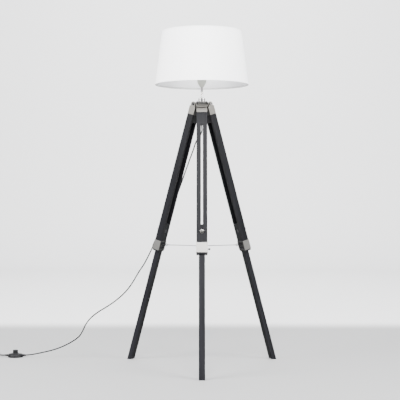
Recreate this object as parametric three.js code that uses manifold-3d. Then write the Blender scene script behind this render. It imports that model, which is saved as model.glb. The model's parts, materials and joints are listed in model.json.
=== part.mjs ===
// Tripod floor lamp: three telescopic wooden legs hinged to a metal hub, a fabric drum shade on a
// short stem, and a mains cord with a foot switch.
// Millimetres, +Z up. The origin is on the floor, under the middle of the lamp's own box.
import * as THREE from "three";
import { mergeVertices } from "three/addons/utils/BufferGeometryUtils.js";
import Module from "manifold-3d";

const wasm = await Module();
wasm.setup();

// ---- driving dimensions ----
const GAP = 0.3;
const ROUND = 20;
// A cutter is drawn this much past the faces it goes through.
const PAST = 5;
const THROUGH = 40;
const PIN_R = 3;
const PIN_BORE = PIN_R + GAP;
const SCREW_R = 2;
const SCREW_BORE = SCREW_R + GAP;

const PIVOT_R = 30.3;
const PIVOT_Z = 1123;
const LEG_SLOPE = 0.3025;
const LEG_ANGLE = Math.atan(LEG_SLOPE);
const COS = Math.cos(LEG_ANGLE);
const SIN = Math.sin(LEG_ANGLE);

const UPPER_W = 45;
const UPPER_T = 29.5;
const UPPER_END = 663;
const CAP_TOP = 9.2;
const CAP_BOTTOM = 45.3;
const CAP_WALL = 2.2;
const EAR_R = 10.5;
const EAR_T = 4.5;
const GROOVE_W = 26.2;
const WEB_T = 7.25;
const GROOVE_START = 80;
const SLOT_R = 4;
const SLOT_TOP = 107;
const SLOT_BOTTOM = 574;
const BOLT_S = 569;
const BOLT_REACH = 28;

const LOWER_W = 25.5;
const LOWER_T = 21.6;
const LOWER_TOP = 537;
const FOOT_RELIEF = 4;

const COLLAR_TOP = 615.2;
const COLLAR_LONG = 42;
const COLLAR_WALL = 1.2;
const WINDOW_W = 32;
const WINDOW_LONG = 11;
const BAND = 6;
const SCREW_S = 640.5;

const EYE_RHO = 178;
const EYE_Z = 513.5;
const EYE_R = 4.2;
const EYE_WIRE = 1.5;
const STAY_R = 1.4;
const FERRULE_R = 2.1;
const RING_R = 8;

const HUB_FLANGE_R = 22.2;
const FLANGE_BOTTOM = 1122;
const FLANGE_TOP = 1132;
const LUG_HALF = 17.2;
const LUG_R = 8.5;
const CORE_R = 13;
const CORE_BOTTOM = 1100;
const STEM_R = 5;
const STEM_BORE = 4;
const STEM_BOTTOM = 1093;
const STEM_TOP = 1199.5;
const GLAND_BOTTOM = 1062;
const CORD_R = 2.75;

const SHADE_BOTTOM_R = 200;
const SHADE_TOP_R = 170.8;
const SHADE_Z0 = 1204.7;
const SHADE_Z1 = 1433;
const SHADE_WALL = 1.5;
const FITTER_Z = 1229.6;
const FITTER_R = 27;
const SHADE_WIRE = 2;
const ARM_WIRE = 1.6;
const HOLDER_BOTTOM = 1194;

const HALF_T = UPPER_T / 2;
const LOWER_IN = HALF_T;
const LOWER_OUT = HALF_T - LOWER_T;
const FOOT_RHO = PIVOT_R + PIVOT_Z * LEG_SLOPE - LOWER_OUT / COS;
const AXIS_Y = (FOOT_RHO - SHADE_BOTTOM_R) / 2;

// ---- materials ----
const finish = (color, roughness, metalness) =>
  new THREE.MeshStandardMaterial({ color, roughness, metalness });
const blackWood = finish(0x1f1f22, 0.55, 0);
const nickel = finish(0xc9c7c0, 0.28, 1);
const darkMetal = finish(0x3a3a3d, 0.4, 1);
const shadeCloth = finish(0xf2f2f2, 0.9, 0);
const whiteWire = finish(0xe8e8e6, 0.5, 0.2);
const holderPlastic = finish(0xd8dad2, 0.45, 0);
const opalGlass = finish(0xf6f4ee, 0.3, 0);
const cordBlack = finish(0x141414, 0.6, 0);
const switchBlack = finish(0x1a1a1a, 0.45, 0);

// ---- solids ----
function solidOf(geometry) {
  const bare = geometry.index ? geometry.toNonIndexed() : geometry.clone();
  bare.deleteAttribute("normal");
  bare.deleteAttribute("uv");
  const merged = mergeVertices(bare, 1e-4);
  return new wasm.Manifold(
    new wasm.Mesh({
      numProp: 3,
      vertProperties: new Float32Array(merged.attributes.position.array),
      triVerts: new Uint32Array(merged.index.array),
    }),
  );
}

function geometryOf(solid) {
  const made = solid.getMesh();
  const geometry = new THREE.BufferGeometry();
  geometry.setAttribute("position", new THREE.BufferAttribute(made.vertProperties.slice(), 3));
  geometry.setIndex(new THREE.BufferAttribute(made.triVerts.slice(), 1));
  geometry.computeVertexNormals();
  return geometry;
}

// A box between two corners.
function block(x0, x1, y0, y1, z0, z1) {
  const box = new THREE.BoxGeometry(x1 - x0, y1 - y0, z1 - z0);
  return box.translate((x0 + x1) / 2, (y0 + y1) / 2, (z0 + z1) / 2);
}

// A body of revolution about Z, from a profile of [radius, height] points.
function turned(profile, sides = ROUND) {
  const points = profile.map(([r, z]) => new THREE.Vector2(r, z));
  return new THREE.LatheGeometry(points, sides).rotateX(Math.PI / 2);
}

function disc(radius, z0, z1, sides = ROUND) {
  return turned([[0, z0], [radius, z0], [radius, z1], [0, z1]], sides);
}

function sleeve(inner, outer, z0, z1, sides = ROUND) {
  return turned([[inner, z0], [outer, z0], [outer, z1], [inner, z1], [inner, z0]], sides);
}

// A ring of round wire about Z.
function hoop(radius, wire, z, sides = 48, section = 6) {
  const profile = [];
  for (let i = 0; i <= section; i++) {
    const a = (i * 2 * Math.PI) / section;
    profile.push([radius + wire * Math.cos(a), z + wire * Math.sin(a)]);
  }
  return turned(profile, sides);
}

const alongX = (geometry) => geometry.rotateY(Math.PI / 2);
const alongY = (geometry) => geometry.rotateX(-Math.PI / 2);

// An outline of [y, z] points, extruded along X about x = 0.
function sidePlate(outline, width) {
  const shape = new THREE.Shape(outline.map(([y, z]) => new THREE.Vector2(y, z)));
  const plate = new THREE.ExtrudeGeometry(shape, { depth: width, bevelEnabled: false });
  return plate.translate(0, 0, -width / 2).rotateX(Math.PI / 2).rotateZ(Math.PI / 2);
}

function joined(...geometries) {
  return geometries.map(solidOf).reduce((all, one) => all.add(one));
}

function cut(solid, ...geometries) {
  return geometries.map(solidOf).reduce((left, one) => left.subtract(one), solid);
}

function hexNut(bore, radius, z0, z1) {
  return cut(joined(disc(radius, z0, z1, 6)), disc(bore, z0 - 1, z1 + 1, 20));
}

function add(parent, name, shape, material) {
  const geometry = shape.isBufferGeometry ? shape : geometryOf(shape);
  const mesh = new THREE.Mesh(geometry, material);
  mesh.name = name;
  parent.add(mesh);
  return mesh;
}

const root = new THREE.Group();
const lamp = new THREE.Group();
lamp.position.y = AXIS_Y;
root.add(lamp);

// ---- shade: fabric cone, two wire rings, the fitter with three arms, and its ring nut ----
function addShade() {
  const cover = [
    [SHADE_BOTTOM_R - SHADE_WALL, SHADE_Z0],
    [SHADE_BOTTOM_R, SHADE_Z0],
    [SHADE_TOP_R, SHADE_Z1],
    [SHADE_TOP_R - SHADE_WALL, SHADE_Z1],
    [SHADE_BOTTOM_R - SHADE_WALL, SHADE_Z0],
  ];
  add(lamp, "shade_cover", turned(cover, 96), shadeCloth);

  const ringIn = SHADE_WALL + SHADE_WIRE + GAP * 2;
  const topZ = SHADE_Z1 - SHADE_WIRE - 0.5;
  add(lamp, "shade_top_ring", hoop(SHADE_TOP_R - ringIn, SHADE_WIRE, topZ), whiteWire);

  const lowR = SHADE_BOTTOM_R - ringIn - 0.3;
  const lowZ = SHADE_Z0 + SHADE_WIRE + 0.5;
  const armZ = FITTER_Z + 1.5;
  const eye = sleeve(20.2, FITTER_R, FITTER_Z, FITTER_Z + 3);
  let frame = joined(hoop(lowR, SHADE_WIRE, lowZ), eye);
  for (let i = 0; i < 3; i++) {
    const path = new THREE.CatmullRomCurve3([
      new THREE.Vector3(25, 0, armZ),
      new THREE.Vector3(90, 0, armZ),
      new THREE.Vector3(150, 0, armZ - 4),
      new THREE.Vector3(lowR - 0.5, 0, lowZ),
    ]);
    const section = new THREE.Shape();
    section.absarc(0, 0, ARM_WIRE, 0, 2 * Math.PI);
    const options = { steps: 8, curveSegments: 3, bevelEnabled: false, extrudePath: path };
    const arm = new THREE.ExtrudeGeometry(section, options);
    frame = frame.add(solidOf(arm.rotateZ(Math.PI / 2 + (i * 2 * Math.PI) / 3)));
  }
  add(lamp, "shade_fitter_frame", frame, whiteWire);
  const nut = sleeve(19.9, FITTER_R, FITTER_Z + 3 + GAP, FITTER_Z + 11);
  add(lamp, "shade_ring_nut", nut, holderPlastic);
}

// ---- lampholder and bulb; heights count from the bottom of the lampholder's cup ----
function addHolder() {
  const holder = new THREE.Group();
  holder.position.z = HOLDER_BOTTOM;
  lamp.add(holder);
  const bore = STEM_R + GAP;
  const cup = [
    [bore, 0],
    [7.5, 0],
    [13, 9],
    [18.5, 20],
    [20.5, 32],
    [18, 32],
    [16, 21],
    [10.5, 10.5],
    [bore, 6],
    [bore, 0],
  ];
  add(holder, "lampholder_cup", turned(cup), holderPlastic);
  const skirt = [
    [17.5, 32.3],
    [22, 32.3],
    [22, 35.3],
    [19.5, 35.3],
    [19.5, 68],
    [17.5, 68],
    [17.5, 32.3],
  ];
  add(holder, "lampholder_skirt", turned(skirt), holderPlastic);
  const core = [[0, 12], [9, 12], [14.5, 22], [15, 36], [0, 36]];
  add(holder, "lampholder_core", turned(core), holderPlastic);
  add(holder, "bulb_cap", disc(13, 36.5, 62), nickel);
  const glass = [[0, 62.3], [14, 62.3], [16, 76], [26, 98], [30, 118], [26, 138], [15, 149], [0, 152]];
  add(holder, "bulb_glass", turned(glass), opalGlass);
}

// ---- hub: stem, collar, flange, three-lugged block, lock nut and gland ----
function addHub() {
  add(lamp, "stem_tube", sleeve(STEM_BORE, STEM_R, STEM_BOTTOM, STEM_TOP), nickel);
  add(lamp, "stem_collar", sleeve(STEM_R + GAP, 15, FLANGE_TOP + GAP, 1147), nickel);
  add(lamp, "hub_cap", sleeve(STEM_R + GAP, HUB_FLANGE_R, FLANGE_BOTTOM, FLANGE_TOP, 36), nickel);

  const armTop = FLANGE_BOTTOM - GAP;
  let block3 = joined(disc(CORE_R, CORE_BOTTOM, armTop));
  for (let i = 0; i < 3; i++) {
    const turn = (i * 2 * Math.PI) / 3;
    const arm = block(-LUG_HALF, LUG_HALF, -PIVOT_R, 0, PIVOT_Z - LUG_R + 1, armTop);
    const lug = alongX(disc(LUG_R, -LUG_HALF, LUG_HALF)).translate(0, -PIVOT_R, PIVOT_Z);
    block3 = block3.add(solidOf(arm.rotateZ(turn)));
    block3 = block3.add(solidOf(lug.rotateZ(turn)));
  }
  const bores = [disc(STEM_R + GAP, CORE_BOTTOM - PAST, FLANGE_TOP)];
  bores.push(disc(HUB_FLANGE_R + GAP, armTop, FLANGE_TOP + PAST, 36));
  for (let i = 0; i < 3; i++) {
    const bore = alongX(disc(PIN_BORE, -THROUGH, THROUGH, 16)).translate(0, -PIVOT_R, PIVOT_Z);
    bores.push(bore.rotateZ((i * 2 * Math.PI) / 3));
  }
  add(lamp, "hub_block", cut(block3, ...bores), nickel);

  add(lamp, "hub_lock_nut", hexNut(STEM_R + GAP, 10, STEM_BOTTOM, CORE_BOTTOM - GAP), nickel);
  const glandTop = STEM_BOTTOM - GAP;
  const gland = [
    [CORD_R + GAP, GLAND_BOTTOM],
    [4, GLAND_BOTTOM],
    [7.5, GLAND_BOTTOM + 22],
    [7.5, glandTop],
    [CORD_R + GAP, glandTop],
    [CORD_R + GAP, GLAND_BOTTOM],
  ];
  add(lamp, "cord_gland", turned(gland), switchBlack);
  add(lamp, "inner_cable", disc(CORD_R, GLAND_BOTTOM, STEM_TOP + 4.5, 10), cordBlack);
}

// ---- one leg; its own frame has x to the right seen from outside, y inward, z up the leg ----
function eyePlace() {
  const inward = PIVOT_R - EYE_RHO;
  const rise = EYE_Z - PIVOT_Z;
  return [inward * COS - rise * SIN, inward * SIN + rise * COS];
}

function legCap() {
  const top = -CAP_TOP;
  const bottom = -CAP_BOTTOM;
  const half = UPPER_W / 2;
  const inX = half - CAP_WALL;
  const inY = HALF_T - CAP_WALL;
  let cap = joined(block(-half, half, -HALF_T, HALF_T, bottom, top));
  for (const side of [-1, 1]) {
    const x0 = side > 0 ? half - EAR_T : -half;
    const ear = alongX(disc(EAR_R, 0, EAR_T)).translate(x0, 0, 0);
    cap = cap.add(solidOf(ear));
    cap = cap.add(solidOf(block(x0, x0 + EAR_T, -EAR_R, EAR_R, top - 1, 0)));
  }
  const cavity = block(-inX, inX, -inY, inY, bottom - PAST, top - CAP_WALL);
  return cut(cap, cavity, alongX(disc(PIN_BORE, -THROUGH, THROUGH, 16)));
}

function upperLeg(screwSide) {
  const half = UPPER_W / 2;
  const tenonX = half - CAP_WALL - GAP;
  const tenonY = HALF_T - CAP_WALL - GAP;
  const shoulder = -CAP_BOTTOM - GAP;
  const body = joined(
    block(-half, half, -HALF_T, HALF_T, -UPPER_END, shoulder),
    block(-tenonX, tenonX, -tenonY, tenonY, shoulder - 1, -CAP_TOP - CAP_WALL - GAP),
  );
  const groove = GROOVE_W / 2;
  const web = WEB_T - HALF_T;
  const cuts = [block(-groove, groove, web, HALF_T + PAST, -UPPER_END - PAST, -GROOVE_START)];
  cuts.push(block(-SLOT_R, SLOT_R, -HALF_T - PAST, web + PAST, -SLOT_BOTTOM, -SLOT_TOP));
  for (const s of [SLOT_TOP, SLOT_BOTTOM]) {
    cuts.push(alongY(disc(SLOT_R, -HALF_T - PAST, HALF_T, 16)).translate(0, 0, -s));
  }
  const hole = alongX(disc(SCREW_BORE, 0, THROUGH, 12)).translate(0, 0, -SCREW_S);
  cuts.push(screwSide > 0 ? hole : hole.rotateZ(Math.PI));
  return cut(body, ...cuts);
}

function legCollar(screwSide) {
  const x = UPPER_W / 2 + GAP;
  const y = HALF_T + GAP;
  const z0 = -COLLAR_TOP - COLLAR_LONG;
  const t = COLLAR_WALL;
  const body = joined(block(-x - t, x + t, -y - t, y + t, z0, -COLLAR_TOP));
  const cuts = [block(-x, x, -y, y, z0 - PAST, -COLLAR_TOP + PAST)];
  const half = WINDOW_W / 2;
  for (const low of [z0 + BAND, -COLLAR_TOP - BAND - WINDOW_LONG]) {
    cuts.push(block(-half, half, y - 0.1, y + t + PAST, low, low + WINDOW_LONG));
  }
  const hole = alongX(disc(SCREW_BORE, 0, THROUGH, 12)).translate(0, 0, -SCREW_S);
  cuts.push(screwSide > 0 ? hole : hole.rotateZ(Math.PI));
  return cut(body, ...cuts);
}

function eyeBolt() {
  const [eyeY, eyeZ] = eyePlace();
  const faceY = HALF_T + GAP + COLLAR_WALL + GAP;
  const baseZ = -COLLAR_TOP - COLLAR_LONG / 2;
  const reach = Math.hypot(eyeY - faceY, eyeZ - baseZ);
  const lean = Math.atan2(eyeZ - baseZ, eyeY - faceY);
  const shank = alongY(disc(1.8, 0, reach - EYE_R, 12)).rotateX(lean).translate(0, faceY, baseZ);
  const foot = alongY(disc(3.8, 0, 2, 16)).translate(0, faceY, baseZ);
  const eye = alongX(hoop(EYE_R, EYE_WIRE, 0, 20)).translate(0, eyeY, eyeZ);
  const trim = block(-10, 10, faceY - 10, faceY, baseZ - 10, baseZ + 10);
  return cut(joined(shank, foot, eye), trim);
}

function lowerLeg() {
  const footZ = (y) => (-PIVOT_Z + y * SIN) / COS;
  const reliefY = LOWER_OUT + LOWER_T * 0.55;
  const outline = [
    [LOWER_OUT, -LOWER_TOP],
    [LOWER_OUT, footZ(LOWER_OUT)],
    [reliefY, footZ(reliefY)],
    [LOWER_IN, footZ(LOWER_IN) + FOOT_RELIEF],
    [LOWER_IN, -LOWER_TOP],
  ];
  const body = joined(sidePlate(outline, LOWER_W));
  const bore = alongY(disc(PIN_BORE, -THROUGH, THROUGH, 16)).translate(0, 0, -BOLT_S);
  const sink = alongY(disc(7.5, 0, PAST, 16)).translate(0, LOWER_IN - 3.5, -BOLT_S);
  return cut(body, bore, sink);
}

function slotBolt() {
  const under = LOWER_IN - 3.2;
  const top = LOWER_IN - 0.4;
  const profile = [
    [0, -BOLT_REACH],
    [PIN_R, -BOLT_REACH],
    [PIN_R, under],
    [7, under],
    [5, top],
    [0, top],
  ];
  return alongY(turned(profile, 16));
}

// The nut spins about the bolt, clear of the wood by the gap.
function wingNut() {
  const face = -HALF_T - GAP;
  const flange = face - 1.6;
  const profile = [[0, face - 8], [5, face - 8], [6.2, flange], [8.5, flange], [8.5, face], [0, face]];
  const boss = alongY(turned(profile));
  const wings = [];
  for (const side of [-1, 1]) {
    const x0 = side > 0 ? 4.5 : -11.5;
    wings.push(block(x0, x0 + 7, face - 11.5, face - 2, -1.4, 1.4));
  }
  return cut(joined(boss, ...wings), alongY(disc(PIN_BORE, -THROUGH, 0, 16)));
}

function thumbScrew() {
  const wallX = UPPER_W / 2 + GAP + COLLAR_WALL;
  const tip = LOWER_W / 2 + GAP;
  const profile = [
    [0, tip],
    [SCREW_R, tip],
    [SCREW_R, wallX + 0.8],
    [2.9, wallX + 0.8],
    [3.9, wallX + 3],
    [3.9, wallX + 10.5],
    [0, wallX + 10.5],
  ];
  return alongX(turned(profile, 16));
}

function addSpreaderRing() {
  add(lamp, "spreader_ring", hoop(RING_R, EYE_WIRE, EYE_Z, 20), nickel);
}

function addLeg(name, azimuth, screwSide) {
  const turn = new THREE.Group();
  turn.rotation.z = azimuth;
  lamp.add(turn);
  const level = new THREE.Group();
  level.position.set(0, -PIVOT_R, PIVOT_Z);
  turn.add(level);
  const leg = new THREE.Group();
  leg.rotation.x = -LEG_ANGLE;
  level.add(leg);

  const half = UPPER_W / 2 + GAP;
  const head = half + 3;
  const end = -half - 6;
  const bolt = [[0, end], [PIN_R, end], [PIN_R, half], [6, half], [5.2, head], [0, head]];
  add(level, `${name}_hinge_bolt`, alongX(turned(bolt, 18)), nickel);
  const nut = add(level, `${name}_hinge_nut`, hexNut(PIN_BORE, 6, -half - 4.5, -half), nickel);
  nut.rotation.y = Math.PI / 2;

  add(leg, `${name}_leg_cap`, legCap(), nickel);
  add(leg, `${name}_upper_leg`, upperLeg(screwSide), blackWood);
  add(leg, `${name}_collar`, legCollar(screwSide), nickel);
  add(leg, `${name}_eye_bolt`, eyeBolt(), nickel);
  const screw = add(leg, `${name}_thumb_screw`, thumbScrew(), darkMetal);
  screw.position.z = -SCREW_S;
  if (screwSide < 0) screw.rotation.z = Math.PI;

  add(leg, `${name}_lower_leg`, lowerLeg(), blackWood);
  const bolt2 = add(leg, `${name}_slot_bolt`, slotBolt(), darkMetal);
  bolt2.position.z = -BOLT_S;
  const wing = add(leg, `${name}_wing_nut`, wingNut(), nickel);
  wing.position.z = -BOLT_S;

  const clear = EYE_R + EYE_WIRE + GAP;
  const inner = RING_R + EYE_WIRE + GAP;
  const outer = EYE_RHO - clear;
  const ferrule = 8;
  const wire = [
    [0, inner],
    [FERRULE_R, inner],
    [FERRULE_R, inner + ferrule],
    [STAY_R, inner + ferrule + 1],
    [STAY_R, outer - ferrule - 1],
    [FERRULE_R, outer - ferrule],
    [FERRULE_R, outer],
    [0, outer],
  ];
  const stay = turned(wire, 10).rotateX(Math.PI / 2);
  add(turn, `${name}_stay_wire`, stay.translate(0, 0, EYE_Z), nickel);
}

// ---- cord, clip, foot switch, coil and plug ----
const SWITCH = new THREE.Vector3(-841, 235, 0);
const SWITCH_HALF = 34;
const SWITCH_WIDE = 31;
const BUTTON_R = 12;
const BUTTON_TOP = 33;
const CORD_Z = 9;

// The stretch of a longer curve between two shares of its length.
class Stretch extends THREE.Curve {
  constructor(whole, from, to) {
    super();
    this.whole = whole;
    this.from = from;
    this.to = to;
  }

  getPoint(t, target) {
    return this.whole.getPointAt(this.from + (this.to - this.from) * t, target);
  }
}

function tube(path, steps, sides = 8) {
  const section = new THREE.Shape();
  for (let i = 0; i < sides; i++) {
    const a = (i * 2 * Math.PI) / sides;
    const place = [CORD_R * Math.cos(a), CORD_R * Math.sin(a)];
    if (i === 0) section.moveTo(...place);
    else section.lineTo(...place);
  }
  const options = { steps, bevelEnabled: false, extrudePath: path };
  return new THREE.ExtrudeGeometry(section, options);
}

function route(rows) {
  const points = rows.map((row) => new THREE.Vector3(...row));
  return new THREE.CatmullRomCurve3(points, false, "centripetal");
}

// The route is in the lamp's own frame, with the stem's axis at x = y = 0.
const LAMP_ROUTE = [
  [0, 0, 1061.7], [0, 1.5, 1047], [0, 10, 1028], [0, 26.5, 1006], [-10.5, 40, 985], [-25, 49.5, 962],
  [-38.5, 56, 924], [-54.5, 64, 881], [-70, 73, 838], [-98, 89.6, 760], [-127.5, 106.6, 680],
  [-152, 121, 612], [-163.2, 129.4, 590], [-176.5, 134.2, 576], [-188.4, 130.7, 566],
  [-195.2, 121.9, 556], [-199.8, 111.9, 544], [-206, 106.2, 531], [-212.4, 104.1, 516],
  [-217.4, 104, 500], [-226, 104.6, 482], [-238.5, 106.5, 456], [-254, 109, 428], [-272, 113, 401],
  [-288, 118, 375], [-304, 122, 348], [-323, 127, 321], [-347, 131, 294], [-379, 138, 266],
  [-417, 146, 239], [-457, 155, 214], [-485, 161, 193], [-505, 166, 172], [-520, 171, 149],
  [-532, 176, 124], [-548, 182, 100], [-577, 190, 78], [-605, 197, 62], [-636, 204, 47.5],
  [-668, 211, 36], [-701, 217, 27], [-733, 222, 19.5], [-762, 227, 13.5], [-786, 231, 10.2],
  [-806.7, 235, CORD_Z],
];
const COIL = new THREE.Vector3(-962.5, 312, 0);
const TAIL_ROUTE = [
  [-875.3, 235, CORD_Z], [-890.5, 235, 8.9], [-899.5, 237.5, 8.5], [-907.5, 244, 8], [-914, 254, 7.4],
  [-918.7, 267, 6.9], [-922, 283, 6.3], [-925.1, 299.9, 5.2],
];
// The clip on the left leg stands at this share of the lamp route's length.
const CLIP_SHARE = 0.401;
const COIL_IN = 24.5;
const COIL_OUT = 36;
const COIL_HIGH = 11.5;

function addCord() {
  const whole = route(LAMP_ROUTE);
  whole.arcLengthDivisions = 2000;
  const share = (GAP * 1.5) / whole.getLength();
  const drop = new Stretch(whole, 0, CLIP_SHARE - share);
  const run = new Stretch(whole, CLIP_SHARE + share, 1);
  add(lamp, "cord_drop", tube(drop, 30), cordBlack);
  add(lamp, "cord_run", tube(run, 44), cordBlack);
  add(lamp, "cord_tail", tube(route(TAIL_ROUTE), 6), cordBlack);
  const coil = sleeve(COIL_IN, COIL_OUT, 0.1, COIL_HIGH, 28);
  add(lamp, "cord_coil", coil.translate(COIL.x, COIL.y, 0), cordBlack);
}

// A slab with an oval outline, long in X.
function oval(long, wide, z0, z1, bevel = 0) {
  const shape = new THREE.Shape();
  shape.absellipse(0, 0, long, wide, 0, 2 * Math.PI);
  const options = { depth: z1 - z0, bevelEnabled: bevel > 0, curveSegments: 14 };
  if (bevel > 0) {
    options.bevelSize = bevel;
    options.bevelThickness = bevel;
    options.bevelSegments = 2;
    options.depth = z1 - z0 - 2 * bevel;
    return new THREE.ExtrudeGeometry(shape, options).translate(0, 0, z0 + bevel);
  }
  return new THREE.ExtrudeGeometry(shape, options).translate(0, 0, z0);
}

function addSwitch() {
  const group = new THREE.Group();
  group.position.copy(SWITCH);
  lamp.add(group);
  const end = SWITCH_HALF + PAST;
  const room = 3.2;
  const notch = block(-end, end, -room, room, CORD_Z - room, CORD_Z + room);
  const base = joined(oval(SWITCH_HALF, SWITCH_WIDE, 0, 9));
  const hollow = oval(SWITCH_HALF - 3, SWITCH_WIDE - 3, 3, 20);
  add(group, "switch_base", cut(base, hollow, notch), switchBlack);
  const dome = joined(oval(SWITCH_HALF - 5, SWITCH_WIDE - 5, 9 + GAP, 19, 4.5));
  add(group, "switch_cover", cut(dome, disc(BUTTON_R + 0.8, 0, THROUGH)), switchBlack);
  add(group, "switch_button", disc(BUTTON_R, 10.3, BUTTON_TOP), switchBlack);
  add(group, "switch_spring_post", disc(4, 3.3, 7, 12), whiteWire);
}

function addPlug() {
  const group = new THREE.Group();
  group.position.set(COIL.x - 33, COIL.y - 53.5, 0);
  lamp.add(group);
  const face = -22;
  const back = 17;
  const body = joined(
    block(-20, 20, face, back, 0, 21),
    alongY(disc(5.5, 0, 12, 12)).translate(0, back, 10),
  );
  const pins = joined(
    block(-13, -9, face - 17, face, 6, 12),
    block(9, 13, face - 17, face, 6, 12),
    block(-3, 3, face - 21, face, 12, 16),
  );
  add(group, "plug", body.add(pins), switchBlack);
}

function addClip() {
  const group = new THREE.Group();
  group.rotation.z = (-2 * Math.PI) / 3;
  lamp.add(group);
  const level = new THREE.Group();
  level.position.set(0, -PIVOT_R, PIVOT_Z);
  group.add(level);
  const leg = new THREE.Group();
  leg.rotation.x = -LEG_ANGLE;
  level.add(leg);
  const face = -HALF_T - GAP;
  const half = 5.8;
  const long = 3.5;
  const wall = 1.2;
  const plate = block(-half, half, face - wall, face, -long, long);
  const walls = [-half, half - wall].map((x) => block(x, x + wall, face - 9, face, -long, long));
  const clip = add(leg, "cable_clip", joined(plate, ...walls), whiteWire);
  clip.position.set(-1.4, 0, -606.8);
  clip.rotation.y = -0.765;
}

addShade();
addHolder();
addHub();
addSpreaderRing();
addLeg("front", 0, 1);
addLeg("right", (2 * Math.PI) / 3, 1);
addLeg("left", (-2 * Math.PI) / 3, -1);
addCord();
addSwitch();
addPlug();
addClip();

export default root;
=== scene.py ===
"""The looks of a tripod floor lamp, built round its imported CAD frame. Metres, +Z up."""

import json
import math

import bmesh
import bpy
from mathutils import Matrix, Vector


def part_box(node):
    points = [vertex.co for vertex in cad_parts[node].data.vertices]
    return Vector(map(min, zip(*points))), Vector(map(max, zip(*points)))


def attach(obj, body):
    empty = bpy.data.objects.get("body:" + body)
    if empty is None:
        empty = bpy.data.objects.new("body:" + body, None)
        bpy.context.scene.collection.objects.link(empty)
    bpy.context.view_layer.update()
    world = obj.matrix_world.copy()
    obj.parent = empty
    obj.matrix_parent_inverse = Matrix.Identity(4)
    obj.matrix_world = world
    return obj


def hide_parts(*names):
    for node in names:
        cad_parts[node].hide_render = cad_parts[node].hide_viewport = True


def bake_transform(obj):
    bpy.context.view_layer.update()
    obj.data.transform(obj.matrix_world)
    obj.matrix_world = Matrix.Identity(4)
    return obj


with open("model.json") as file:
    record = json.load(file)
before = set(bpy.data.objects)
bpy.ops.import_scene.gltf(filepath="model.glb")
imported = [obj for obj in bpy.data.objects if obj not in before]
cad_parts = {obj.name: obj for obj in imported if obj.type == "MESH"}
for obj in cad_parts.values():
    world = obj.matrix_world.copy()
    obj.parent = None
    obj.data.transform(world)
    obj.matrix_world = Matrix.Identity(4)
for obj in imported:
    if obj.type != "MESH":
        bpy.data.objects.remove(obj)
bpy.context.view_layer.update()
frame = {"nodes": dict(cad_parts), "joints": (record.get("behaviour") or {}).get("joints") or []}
MM = 0.001
LEGS = ("front", "right", "left")
QUARTER = math.pi / 2
ALONG_X = Matrix.Rotation(QUARTER, 4, "Y")
ALONG_Y = Matrix.Rotation(-QUARTER, 4, "X")


def stem_axis():
    """The place on the floor under the stem, the origin of the millimetre frame below."""
    low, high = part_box("stem_tube")
    centre = (Vector(low) + Vector(high)) / 2
    return Vector((centre.x, centre.y, 0))


AXIS = stem_axis()
TO_ROW = Matrix.Translation(AXIS) @ Matrix.Scale(MM, 4)


def joint(name):
    return next(j for j in frame["joints"] if j["name"] == name)


def leg_matrix(leg):
    """From a leg's own millimetres (x right seen from outside, y inward, z up the leg) to metres."""
    x = Vector(joint(f"{leg}_leg_fold")["axis"])
    z = Vector(joint(f"{leg}_leg_slide")["axis"])
    y = z.cross(x)
    turn = Matrix((x, y, z)).transposed().to_4x4()
    return Matrix.Translation(Vector(joint(f"{leg}_leg_fold")["pos_m"])) @ turn @ Matrix.Scale(MM, 4)


def turn_matrix(leg):
    """From millimetres in the lamp's frame, turned so that -Y points along the leg, to metres."""
    x = Vector(joint(f"{leg}_leg_fold")["axis"])
    return TO_ROW @ Matrix.Rotation(math.atan2(x.y, x.x), 4, "Z")


# ---------------------------------------------------------------- camera
LENS_MM = 96.14
SENSOR_MM = 36
CAMERA_AWAY = 4.5886
CAMERA_HIGH = 0.7304
CAMERA_SIDE = -0.0078
HORIZON_SHIFT = -0.0117
SEES_TO = 60


def add_camera():
    data = bpy.data.cameras.new("camera")
    data.lens = LENS_MM
    data.sensor_width = SENSOR_MM
    data.shift_y = HORIZON_SHIFT
    data.clip_end = SEES_TO
    camera = bpy.data.objects.new("camera", data)
    camera.location = (AXIS.x + CAMERA_SIDE, AXIS.y - CAMERA_AWAY, CAMERA_HIGH)
    camera.rotation_euler = (QUARTER, 0, 0)
    bpy.context.scene.collection.objects.link(camera)
    bpy.context.scene.camera = camera


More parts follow.
